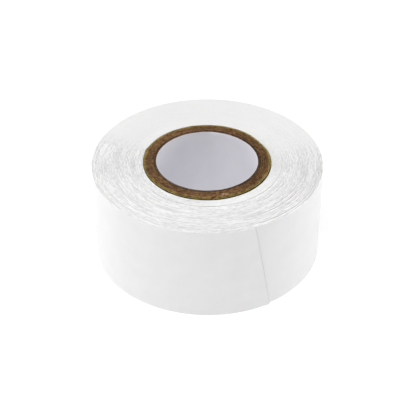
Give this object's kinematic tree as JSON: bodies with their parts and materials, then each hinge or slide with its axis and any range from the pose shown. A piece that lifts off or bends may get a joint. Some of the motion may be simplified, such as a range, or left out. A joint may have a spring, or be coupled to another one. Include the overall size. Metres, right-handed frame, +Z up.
{
  "type": "grip tape roll",
  "caption": "Roll of white racket grip tape with a release liner, wound on a spiral kraft core, with a loose end that lifts.",
  "frame": {"origin": "on the axis of the core's bore, at the base that the roll stands on", "axes": "+Z up along the axis of the core's bore, across the width of the tape; -Y towards the side with the loose end"},
  "size_m": [0.0576, 0.0578, 0.0257],
  "materials": {
    "tape": "satin",
    "liner_paper": "satin",
    "kraft_board": "matte",
    "cover_paper": "matte",
    "white_paper": "matte"
  },
  "bodies": {
    "roll": {"core_liner": "white_paper", "core_ply_1": "kraft_board", "core_ply_2": "kraft_board", "core_ply_3": "kraft_board", "core_ply_4": "kraft_board", "core_ply_5": "kraft_board", "core_ply_6": "kraft_board", "core_cover": "cover_paper", "release_liner": "liner_paper", "grip_tape": "tape"},
    "tape_end": {"tape_tail": "tape"},
    "liner_end": {"liner_tail": "liner_paper"}
  },
  "joints": [
    {"name": "tape_lift", "type": "hinge", "parent": "roll", "child": "tape_end", "pos_m": [-0.00202, -0.02893, 0], "axis": [0, 0, -1], "range_deg": [0, 120]},
    {"name": "liner_lift", "type": "hinge", "parent": "roll", "child": "liner_end", "pos_m": [-0.00202, -0.02893, 0], "axis": [0, 0, -1], "range_deg": [0, 90]}
  ],
  "couplings": [
    {"joint": "liner_lift", "follows": "tape_lift", "ratio": 0.75}
  ]
}
